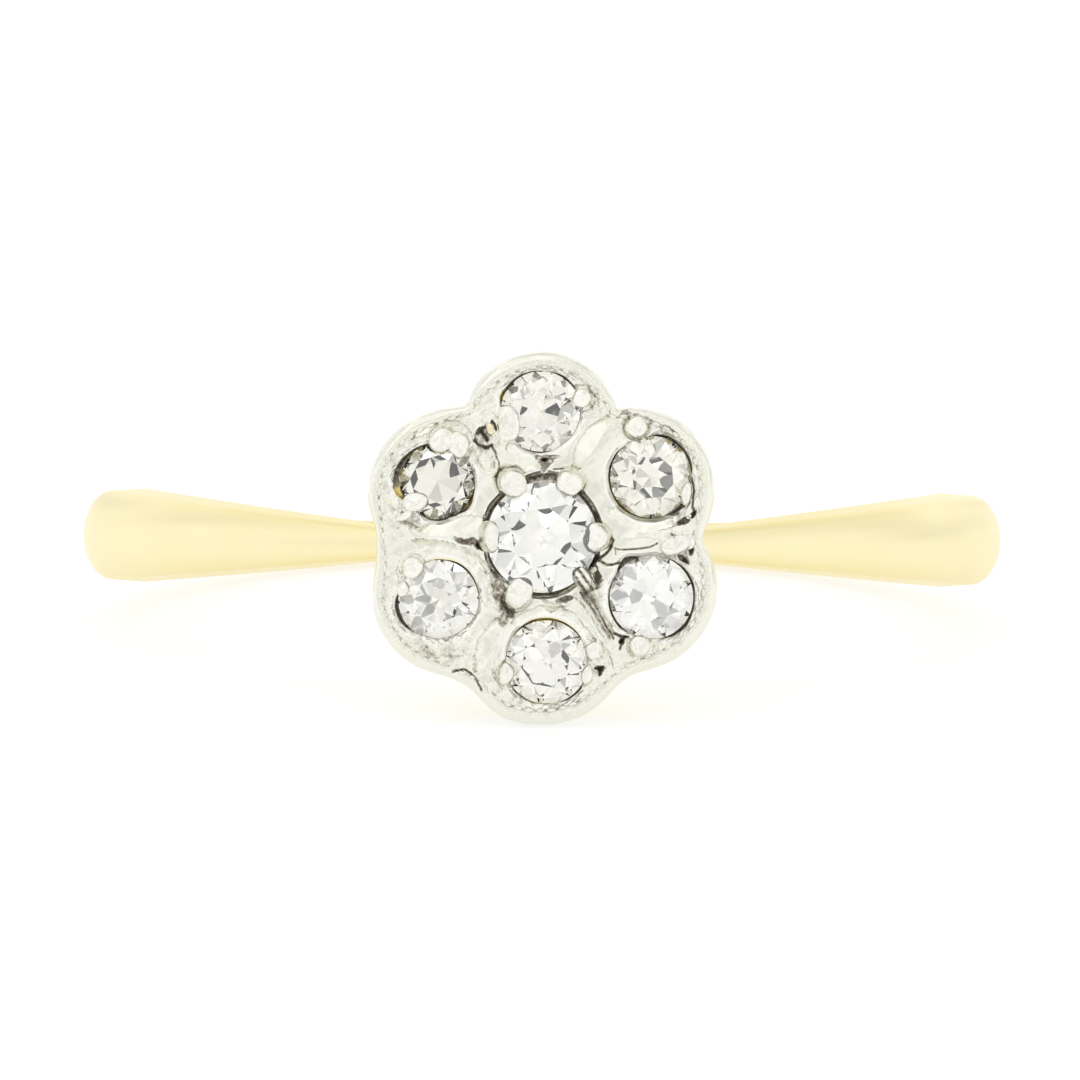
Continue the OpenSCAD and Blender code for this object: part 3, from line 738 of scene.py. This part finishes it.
class RING_OT_gallery(bpy.types.Operator):
    """Makes the fluted gold gallery and its pierced plate"""
    bl_idname = "ring.gallery"
    bl_label = "Gallery"

    def execute(self, context):
        """The wall is the cup's petalled outline drawn in towards its foot in proportion to the
        depth, and ends on the finger hole's cylinder, where height squared plus x squared is the
        radius squared. Inside it is hollow up to the plate."""
        h, b = sizes(context.scene.ring_head), sizes(context.scene.ring_band)
        top = b.finger_r + h.gallery_h
        foot_share = 1 - h.gallery_lean / (h.lobe_c + h.lobe_r - h.cup_lean)
        counts = (32, 10, 12)
        a = steps_round(counts[0])

        def radius(z, wall, angle):
            s = 1 - (1 - foot_share) * (top - z) / h.gallery_h
            flute = SimpleNamespace(lobe_r=(h.lobe_r - h.cup_lean) * s - wall,
                                    lobe_c=h.lobe_c * s)
            return outline(angle, 0, flute)

        def foot_z(wall):
            z = np.full(len(a), b.finger_r)
            # outline and height depend on each other, and settle in a few rounds
            for _ in range(12):
                z = np.sqrt(b.finger_r ** 2 - (radius(z, wall, a) * np.cos(a)) ** 2)
            return z

        def side(z_top, wall):
            t = np.linspace(0, 1, 13)[:, None]
            z = z_top + (foot_z(wall)[None] - z_top) * t
            return raised(polar(radius(z, wall, a), a), z)

        ceiling = top - h.gallery_plate
        outer, inner = side(top, 0), side(ceiling, h.gallery_wall)
        rows = np.concatenate([outer, inner[::-1]])
        points, faces = [rows.reshape(-1, 3)], [grid_faces(len(rows), len(a))]
        first, face_rows = rows[..., 0].size, 5
        for z, wall, order in ((top, 0, -1), (ceiling, h.gallery_wall, 1)):
            rings = cells(lambda angle: radius(z, wall, angle), h.split_r, counts)
            for ring, stone in zip(rings, STONES):
                hole = stone.at + polar(stone.r * h.plate_hole_share, bearing_of(ring - stone.at))
                t = np.linspace(0, 1, face_rows)[:, None, None]
                face = raised(hole + (ring - hole) * t, z)
                points.append(face.reshape(-1, 3))
                faces.append(grid_faces(face_rows, len(ring), first)[:, ::order])
                first += face[..., 0].size
        # the holes' walls join the hole rings of the two faces
        seen = [len(ring) for ring in rings]
        starts = rows[..., 0].size + face_rows * np.cumsum([0, *seen, *seen])[:-1]
        for k, n in enumerate(seen):
            j = np.arange(n)
            up, down = starts[k] + j, starts[k + 7] + j
            up2, down2 = starts[k] + (j + 1) % n, starts[k + 7] + (j + 1) % n
            faces.append(np.stack([up, up2, down2, down], -1))
        points, quads, _ = weld(np.concatenate(points), np.concatenate(faces))
        # the whole gallery is tinted six tenths of the way to the band's deeper yellow
        obj = piece("fluted_gallery", points, [quads], polished_gold, "gold", ["band"],
                    {"edge": np.full(len(points), 0.6)})
        sharpen(obj, 40)
        return {"FINISHED"}


def sharpen(obj, degrees):
    """Shades an object smooth, with sharp edges where its faces meet at more than an angle."""
    obj.data.set_sharp_from_angle(angle=np.radians(degrees))


class RING_OT_cup(bpy.types.Operator):
    """Makes the platinum cup with its seven seats"""
    bl_idname = "ring.cup"
    bl_label = "Cup"

    def execute(self, context):
        """The face is cut into a cell for each stone. In each, rows of points run from the seat's
        mouth to the cell's edge, and their height is the relief. Below each mouth the rows go down
        the seat to the hole behind it. Outside, a profile is carried round the petalled edge: over
        the milgrain's ledge and the rounded rim and down the wall."""
        h = sizes(context.scene.ring_head)
        thread = h.rim_w + h.thread_w
        counts = (110, 34, 44)
        rings = cells(lambda a: rim_line(a, thread, h), h.split_r, counts)
        feet = cells(lambda a: outline(a, h.cup_lean, h), h.split_r, counts)
        face_rows, crowding = 27, 1.25  # rows stand closer together near the stone
        blocks = []

        def add(block, *layers):
            first = sum(len(b[0]) for b in blocks)
            layers = [(v + 0 * block[..., 0]).reshape(-1) for v in layers]
            blocks.append((block.reshape(-1, 3), grid_faces(*block.shape[:2], first), *layers))

        for k, (ring, foot, stone) in enumerate(zip(rings, feet, STONES)):
            bearing = bearing_of(ring - stone.at)
            lip = lip_radius(k, bearing)
            mouth = stone.at + polar(lip, bearing)
            t = np.linspace(0, 1, face_rows)[:, None]
            flat = mouth + (ring - mouth) * t[..., None] ** crowding
            z, soil, rough, rub = relief(flat)
            face = raised(flat, h.plate_z + z)
            # the seat, from its mouth down a steep wall to a trench below the girdle, in to the
            # cone that carries the stone, and down the hole; heights are from the girdle, and the
            # cone's radii are shares of the stone's
            hole = stone.r * h.hole_share
            depth = stone.z - h.plate_z + h.cup_h
            cone = np.array([0.92, 0.78, 0.66])
            wall_r = np.stack([lip, lip - 0.006, lip - 0.012, lip - 0.02,
                               *(r + 0 * lip for r in (*(stone.r * cone), hole, hole))])
            top = face[0, :, 2] - stone.z
            low = (*(-0.1 * stone.r + (cone - 1) * stone.r), -0.6 * depth, -depth)
            wall_z = np.stack([top, top - 0.03, 0.3 * top - 0.1, 0 * top - 0.22 * stone.r - 0.02,
                               *(z_low + 0 * top for z_low in low)])
            seat = raised(stone.at + polar(wall_r, bearing), stone.z + wall_z)
            gilt = np.zeros(len(ring))
            for petal, middle, half in GILT:
                if petal + 1 == k:
                    off = (np.degrees(bearing) - middle + 180) % 360 - 180
                    gilt = np.maximum(gilt, bell(off, half))
            # soil and painted shade, and gold, row by row: the wider the gap round the stone, the
            # darker it is painted there, most in the trench below the girdle
            deep = np.array([0.5, 0.8, 1, 1, 0.5, 0.25, 0.2, 0.2, 0.2])[:, None]
            under = np.array([0, 0.6, 1, 1, 0.6, 1, 1, 1, 1])[:, None]
            open_w = np.clip((lip - stone.r - 0.02) / 0.05, 0, 1)
            add(seat[::-1], ((0.4 + 0.25 * open_w) * deep * (1 - 0.8 * gilt * under))[::-1],
                (np.maximum(gilt, under * 0.3 * (np.arange(9)[:, None] > 3)) * under)[::-1], 0, 0)
            edge = gilt * bell(t * (face_rows - 1), 3)
            add(face, soil * (1 - 0.7 * edge), edge, rough, rub)
            hole = seat[-1, :, :2]
            sole = hole + (foot - hole) * np.linspace(0, 1, 5)[:, None, None]
            # the cup's underside gets a little soil and painted shade
            add(raised(sole, h.plate_z - h.cup_h)[::-1], 0.3, 0, 0, 0)
        a = steps_round(counts[0])
        start = polar(rim_line(a, thread, h), a)
        z0, soil_and_shade_at_thread, rough0, _ = relief(start)
        # the edge's profile, from the thread's ledge out over the rim and down the wall, and how
        # much of the face's relief, soil and painted shade, and roughness reaches each row
        inset = np.array([thread, thread - 0.02, h.rim_w + 0.045, h.rim_w + 0.01, h.rim_w - 0.02,
                          h.rim_w - 0.05, 0.17, 0.115, 0.07, 0.03, 0.007, 0.0, 0.01, 0.06, 0.16,
                          h.cup_lean])
        level = np.array([0, -0.01, -0.022, -0.018, -0.006, 0.002, 0.0, -0.022, -0.06, -0.13,
                          -0.23, -0.36, -0.62, -0.9, -1.15, -h.cup_h])
        fade = np.array([1, 0.6, 0.2, 0.1, *[0] * 12])[:, None]
        # rows above the widest one keep to the rim's width, and cuts run on over the rows on top
        on_top, widest = 11, 12
        rim = np.stack([polar((rim_line if n < widest else outline)(a, i, h), a)
                        for n, i in enumerate(inset)])
        z = h.plate_z + level[:, None] + fade * z0
        cut = relief(rim[:on_top])[1]
        z[:on_top] -= 0.05 * cut * (1 - fade[:on_top])
        # the thread's ledge and the rim's inner slope are painted darker with soil and painted
        # shade
        soil = np.array([0.35, 0.4, 0.42, 0.35, 0.12, *[0.02] * 11])[:, None] + 0 * z
        soil[:on_top] = np.maximum(soil[:on_top], cut)
        soil[0] = soil_and_shade_at_thread
        rough = np.array([1, 1, 0.9, 0.8, 0.6, 0.4, 0.25, 0.15, *[0.05] * 8])[:, None] * rough0
        add(raised(rim, z), soil, 0, rough, 0)
        points, faces, *layers = (np.concatenate(part) for part in zip(*blocks))
        points, quads, keep = weld(points, faces)
        quads = quads[[len(set(q)) == 4 for q in quads.tolist()]]
        obj = piece("platinum_cup", points, [quads], worn_platinum_painted_light, "platinum", ["setting"],
                    {name: values[keep] for name, values in zip(LAYERS, layers)})
        sharpen(obj, 50)
        return {"FINISHED"}


def ball(rows, columns):
    """A unit ball: rows of latitude between two poles, each row a circle of radius sin(latitude)
    at height cos(latitude), with a fan of triangles at each pole."""
    lat = np.linspace(0, np.pi, rows + 2)[1:-1, None]
    lon = TURN * np.arange(columns)[None] / columns
    middle = np.stack(np.broadcast_arrays(np.sin(lat) * np.cos(lon), np.sin(lat) * np.sin(lon),
                                          np.cos(lat) + 0 * lon), -1).reshape(-1, 3)
    points = np.concatenate([middle, [[0, 0, 1], [0, 0, -1]]])
    j = np.arange(columns)
    last = (rows - 1) * columns
    fans = [np.stack([(j + 1) % columns, j, np.full(columns, len(middle))], -1),
            np.stack([last + j, last + (j + 1) % columns, np.full(columns, len(middle) + 1)], -1)]
    return points, grid_faces(rows, columns), np.concatenate(fans)


def repeated(points, quads, fans):
    """Joins many like balls: the numbers in their faces go up by the points of one for each."""
    shift = np.arange(points.shape[0])[:, None, None] * points.shape[1]
    faces = [(quads + shift).reshape(-1, 4), (fans + shift).reshape(-1, 3)]
    return points.reshape(-1, 3), faces


def drops(name, table, square):
    """Makes a piece with one ball for each row of a table, stretched to its half lengths,
    flattened on top, leaning by a share of its height, turned and set in its place. A sloping
    plane cuts its top off. Its roundness is uneven: its radius gains a few hundredths times sines
    of its direction and place."""
    h = sizes(bpy.context.scene.ring_head)
    unit, quads, fans = ball(22, 32)
    x, y, z, long, wide, high, turn, lean, soil, gilt, _ = (v[:, None] for v in table.T)
    u = unit[None]
    wave = 1 + 0.045 * np.sin(3.1 * u[..., 0] + 5 * x + 2.1 * u[..., 1] * (1 + y % 1)) \
        + 0.03 * np.sin(5.3 * u[..., 1] + 7 * y + 4 * u[..., 2])
    px, py, pz = u[..., 0] * long * wave, u[..., 1] * wide * wave, u[..., 2]
    px, py = (np.sign(v) * m * np.abs(v / m) ** square for v, m in ((px, long), (py, wide)))
    dome_power, top, slope = 0.6, 0.86, 0.25  # how flat its dome is, and the plane that cuts it
    pz = np.where(pz > 0, np.abs(pz) ** dome_power, pz) * high
    pz = np.minimum(pz, high * (top + slope * (np.sin(9 * x) * px / long
                                               + np.sin(7 * y) * py / wide)))
    px = px - lean * np.maximum(pz, -high)
    dx, dy = spin(px, py, np.radians(turn))
    at = np.stack([x + dx, y + dy, h.plate_z + z + pz], -1)
    # painted shade: the lower part of each claw and grain is painted darker with the soil
    low = np.clip(-u[..., 2] + 0.3, 0, 1)
    stripes = soil * (1 + 0.8 * np.sin(45 * py))
    layers = {"soil": np.clip(stripes + 0.5 * low, 0, 1).reshape(-1),
              "gilt": np.broadcast_to(gilt, px.shape).reshape(-1),
              "rough": np.full(px.size, 0.25),
              # painted highlight: the top of each claw and grain is painted lighter
              "rub": np.broadcast_to(0.5 * np.clip((u[..., 2] - 0.5) / 0.3, 0, 1) * (1 - soil),
                                     px.shape).reshape(-1)}
    piece(name, *repeated(at, quads, fans), worn_platinum_painted_light, "platinum", ["setting"], layers)


class RING_OT_claws(bpy.types.Operator):
    """Makes the six claws round the centre stone"""
    bl_idname = "ring.claws"
    bl_label = "Claws"

    def execute(self, context):
        drops("platinum_claws", CLAWS, 0.9)
        return {"FINISHED"}


class RING_OT_grains(bpy.types.Operator):
    """Makes the grains that hold the petal stones"""
    bl_idname = "ring.grains"
    bl_label = "Grains"

    def execute(self, context):
        drops("platinum_grains", GRAINS, 0.95)
        return {"FINISHED"}


class RING_OT_milgrain(bpy.types.Operator):
    """Makes the row of fine beads inside the rim"""
    bl_idname = "ring.milgrain"
    bl_label = "Milgrain"

    def execute(self, context):
        """Beads stand at even steps of length along the outline set in by the rim. Each is a ball,
        longer along the line than across it, and worn to its own height."""
        h = sizes(context.scene.ring_head)
        a = np.linspace(0, TURN, 2881)
        inset = h.rim_w + 0.5 * h.thread_w
        line = polar(rim_line(a, inset, h), a)
        run = np.concatenate([[0], np.cumsum(np.linalg.norm(np.diff(line, axis=0), axis=1))])
        count = int(run[-1] / h.bead_pitch)
        at = np.interp(np.arange(count) / count * run[-1], run, a)
        spot = polar(rim_line(at, inset, h), at)
        ahead = polar(rim_line(at + 0.01, inset, h), at + 0.01) - spot
        wear = by_bearing(at, BEADS) * (0.8 + 0.2 * np.sin(57 * at) + 0.15 * np.sin(91 * at))
        unit, quads, fans = ball(5, 10)
        size = 0.75 + 0.3 * wear[:, None]
        long, wide, high, sunk, lift = 0.44 * h.bead_pitch, 0.62 * h.thread_w, 0.055, 0.06, 0.05
        px, py = unit[None, :, 0] * long * size, unit[None, :, 1] * wide * size
        pz = unit[None, :, 2] * high - sunk + lift * wear[:, None]
        dx, dy = spin(px, py, bearing_of(ahead)[:, None])
        points = np.stack([spot[:, :1] + dx, spot[:, 1:] + dy, h.plate_z + pz], -1)
        points, faces = repeated(points, quads, fans)
        # every bead gets a little soil and painted shade, broken into crumbs
        piece("milgrain", points, faces, worn_platinum_painted_light, "platinum", ["setting"],
              {"soil": np.full(len(points), 0.15), "rough": np.full(len(points), 0.5)})
        return {"FINISHED"}


def stone_mesh(stone, cut):
    """A round stone of the old cut, its facets flat. The table's corners, the tips of the stars
    and the meeting points of the lower facets stand on circles. A facet that reaches the girdle is
    cut off by the stone's round side, at the height where its plane meets it."""
    r = stone.r
    n, arc = 8, 64
    cosine = np.cos(TURN / 16)
    table_z = 2 * r * cut.crown
    star_z = table_z * (1 - cut.star * cosine) / (1 - cut.table)
    under_z = -2 * r * cut.girdle
    deep = 2 * r * cut.pavilion
    culet_z = under_z - deep
    lower_z = under_z - deep * (1 - cut.lower * cosine) / (1 - cut.culet * cosine)

    def circle(count, radius, z, first):
        a = first + TURN * np.arange(count) / count
        return raised(polar(radius, a), z)

    def edge(tip, tip_z, z):
        # the plane through the tip at angle 0 and the girdle's points at 0 and 22.5 degrees
        a = TURN * np.arange(arc) / arc
        fold = np.abs((a + TURN / 16) % (TURN / 8) - TURN / 16)
        slope = (tip_z - z) / (1 - tip) / r
        across = slope * (1 - cosine) / np.sin(TURN / 16)
        return z + slope * (r - r * np.cos(fold)) - across * r * np.sin(fold)

    upper, under = circle(arc, r, 0, 0), circle(arc, r, 0, 0)
    upper[:, 2] = edge(cut.star, star_z, 0)
    under[:, 2] = edge(cut.lower, lower_z, under_z)
    points = np.concatenate([
        circle(n, r * cut.table, table_z, TURN / 16), circle(n, r * cut.star, star_z, 0),
        upper, under,
        circle(n, r * cut.lower, lower_z, 0), circle(n, r * cut.culet, culet_z, 0)])
    k = np.arange(n)[:, None]
    table, star, top, low, meet, culet = 0, n, 2 * n, 2 * n + arc, 2 * n + 2 * arc, 3 * n + 2 * arc
    step = arc // n
    half = np.arange(step // 2 + 1)[None]
    k2 = (k + 1) % n
    j = np.arange(arc)[:, None]
    # table, stars, kites, upper halves, girdle, lower halves, mains and culet
    faces = [np.concatenate(corners, 1) for corners in (
        [np.arange(n)[None]],
        [table + (k + n - 1) % n, star + k, table + k],
        [table + k, star + k, top + step * k + step // 2, star + k2],
        [star + k, top + (step * k + half) % arc],
        [star + k, top + (step * k - step // 2 + half) % arc],
        [top + j, low + j, low + (j + 1) % arc, top + (j + 1) % arc],
        [meet + k, low + (step * k + half[:, ::-1]) % arc],
        [meet + k, low + (step * k - step // 2 + half[:, ::-1]) % arc],
        [meet + k, culet + k, culet + k2, meet + k2, low + (step * k + step // 2) % arc],
        [culet + np.arange(n)[None, ::-1]])]
    x, y = spin(*points.T[:2], stone.turn)
    return np.stack([stone.at[0] + x, stone.at[1] + y, stone.z + points[:, 2]], -1), faces


# How each stone, cut by eye, differs: lean in its seat in degrees about the across and along axes,
# turn from the CAD stone, how yellow it is, and what is added to the shares of the table, stars,
# lower facets, culet, crown and pavilion.
OWN_CUTS = np.array([
    [1.5, -2, 8, 0.1, 0, 0, 0, 0, 0, 0],
    [-1.8, -3.5, 28.7, 0.4, -0.052, -0.033, -0.09, 0.016, -0.009, -0.025],
    [-2.1, -2.3, 44.3, 0.6, 0.14, 0.106, 0.19, 0, -0.02, 0.045],
    [-0.3, -4.2, 36.1, 0.2, 0.02, 0.008, -0.248, 0.011, -0.025, 0.002],
    [1.4, -3.9, 33.1, 0.3, 0.026, 0.046, -0.18, 0, 0.019, -0.008],
    [2, 2.5, 3, 0, 0, 0, 0, 0, 0, 0],
    [4.3, 4.8, 21.3, 0.6, -0.029, 0.002, -0.052, 0, 0.022, 0.032],
])


class RING_OT_stones(bpy.types.Operator):
    """Makes the seven cut stones"""
    bl_idname = "ring.stones"
    bl_label = "Stones"

    def execute(self, context):
        names = ("table", "star", "lower", "culet", "crown", "pavilion")
        for stone, (lean_x, lean_y, own_turn, warm, *extra) in zip(STONES, OWN_CUTS):
            cut = sizes(context.scene.ring_stones)
            for name, value in zip(names, extra):
                setattr(cut, name, getattr(cut, name) + value)
            points, faces = stone_mesh(stone, cut)
            turn = Matrix.Rotation(np.radians(own_turn), 3, "Z") @ \
                Euler((np.radians(lean_x), np.radians(lean_y), 0)).to_matrix()
            middle = np.array([*stone.at, stone.z])
            points = middle + (points - middle) @ np.array(turn).T
            piece("cut_" + stone.name, points, faces, cut_stone, "stone", [stone.name],
                  {"warm": np.full(len(points), warm)}, smooth=False)
        return {"FINISHED"}


class RING_OT_stage(bpy.types.Operator):
    """Makes the floor, the light and the camera"""
    bl_idname = "ring.stage"
    bl_label = "Stage"

    def execute(self, context):
        s, f = context.scene.ring_stage, context.scene.ring_finishes
        scene = context.scene
        scene.view_settings.view_transform = "Standard"
        # floor
        w = s.floor_w / 2
        mesh = bpy.data.meshes.new("floor")
        mesh.from_pydata([(-w, -w, 0), (w, -w, 0), (w, w, 0), (-w, w, 0)], [], [(0, 1, 2, 3)])
        floor = place("floor", mesh)
        material, tree, shader, where = blank("matt_white")
        # paper fibre some 0.4 mm across, too faint to show at this exposure
        tint = mix(tree, noise(tree, where, 0.4), f.floor, linear("#aaaaa9"))
        join(tree, shader, {"Base Color": tint, "Roughness": 0.9, "Emission Color": (1, 1, 1, 1),
                            "Emission Strength": 0.66})
        mesh.materials.append(material)
        # a white room, a little darker above and where the camera stands
        world = bpy.data.worlds.new("white_room")
        scene.world = world
        world.use_nodes = True
        tree = world.node_tree
        way = add_node(tree, "TexCoord").outputs["Generated"]
        height = add_node(tree, "SeparateXYZ", {"Vector": way}).outputs["Z"]
        facing = add_node(tree, "VectorMath", {0: way, 1: tuple(OUT)}, operation="DOT_PRODUCT")
        near, full = (float(np.cos(np.radians(a))) for a in (12, 8))
        level = times(tree, remap(tree, height, 0, 0.9, 1, 0.94),
                      remap(tree, facing.outputs["Value"], near, full, 1, 0.82))
        # patterns of light, by scale, detail and the change from one brightness to another: gaps
        # between white cloths, bare lamps here and there, and the lamps' wide fall of light
        for scale, detail, *ends in ((5.2, 2, 0.42, 0.46, 0.6, 1.11), (8, 1, 0.64, 0.68, 1, 1.6),
                                     (1.7, 1, 0.35, 0.65, 0.9, 1.1)):
            cloud = add_node(tree, "TexNoise", {"Vector": way, "Scale": scale, "Detail": detail})
            level = times(tree, level, remap(tree, cloud, *ends))
        join(tree, tree.nodes["Background"], {"Color": level, "Strength": s.sky})
        # a soft lamp overhead
        light = bpy.data.lights.new("softbox", "AREA")
        light.shape, light.size, light.energy = "SQUARE", 0.5, s.box
        lamp = place("softbox", light)
        lamp.location = (-0.12, -0.18, 0.5)
        lamp.rotation_euler = (-lamp.location).to_track_quat("-Z", "Y").to_euler()
        # the camera looks straight down on the head, turned a third of a degree
        data = bpy.data.cameras.new("camera")
        data.lens, data.sensor_width = s.lens, 36
        data.clip_start, data.clip_end = 0.01, 20
        photo_px = 1080
        data.shift_x, data.shift_y = -2 / photo_px, -2.5 / photo_px
        camera = place("camera", data)
        turn = Matrix.Rotation(np.radians(0.36), 3, Vector(OUT))
        side, up = turn @ Vector(ACROSS), turn @ Vector(ALONG)
        axes = Matrix((side, up, Vector(OUT))).transposed().to_4x4()
        camera.matrix_world = Matrix.Translation(Vector(ORIGIN + OUT * s.distance)) @ axes
        scene.camera = camera
        return {"FINISHED"}


class RING_PT_panel(bpy.types.Panel):
    """Lists the ring's pieces"""
    bl_idname = "RING_PT_panel"
    bl_label = "Cluster Ring"
    bl_space_type = "VIEW_3D"
    bl_region_type = "UI"
    bl_category = "Ring"

    def draw(self, context):
        for group in GROUPS:
            data = getattr(context.scene, group)
            box = self.layout.box()
            box.label(text=group.replace("ring_", "").capitalize())
            for p in data.bl_rna.properties:
                if p.identifier not in ("rna_type", "name"):
                    box.prop(data, p.identifier)
        for operator in OPERATORS:
            self.layout.operator(operator.bl_idname)


GROUPS = {"ring_band": BandSizes, "ring_head": HeadSizes, "ring_stones": StoneSizes,
          "ring_finishes": Finishes, "ring_stage": StageSizes}
OPERATORS = [RING_OT_stage, RING_OT_band, RING_OT_gallery, RING_OT_cup, RING_OT_milgrain,
             RING_OT_claws, RING_OT_grains, RING_OT_stones]


def register():
    for item in [*GROUPS.values(), *OPERATORS, RING_PT_panel]:
        bpy.utils.register_class(item)
    for name, group in GROUPS.items():
        setattr(bpy.types.Scene, name, PointerProperty(type=group))


def unregister():
    for name in GROUPS:
        delattr(bpy.types.Scene, name)
    for item in reversed([*GROUPS.values(), *OPERATORS, RING_PT_panel]):
        bpy.utils.unregister_class(item)


def main():
    register()
    bpy.ops.ring.stage()
    bpy.ops.ring.band()
    bpy.ops.ring.gallery()
    bpy.ops.ring.cup()
    bpy.ops.ring.milgrain()
    bpy.ops.ring.claws()
    bpy.ops.ring.grains()
    bpy.ops.ring.stones()


if __name__ == "__main__":
    main()
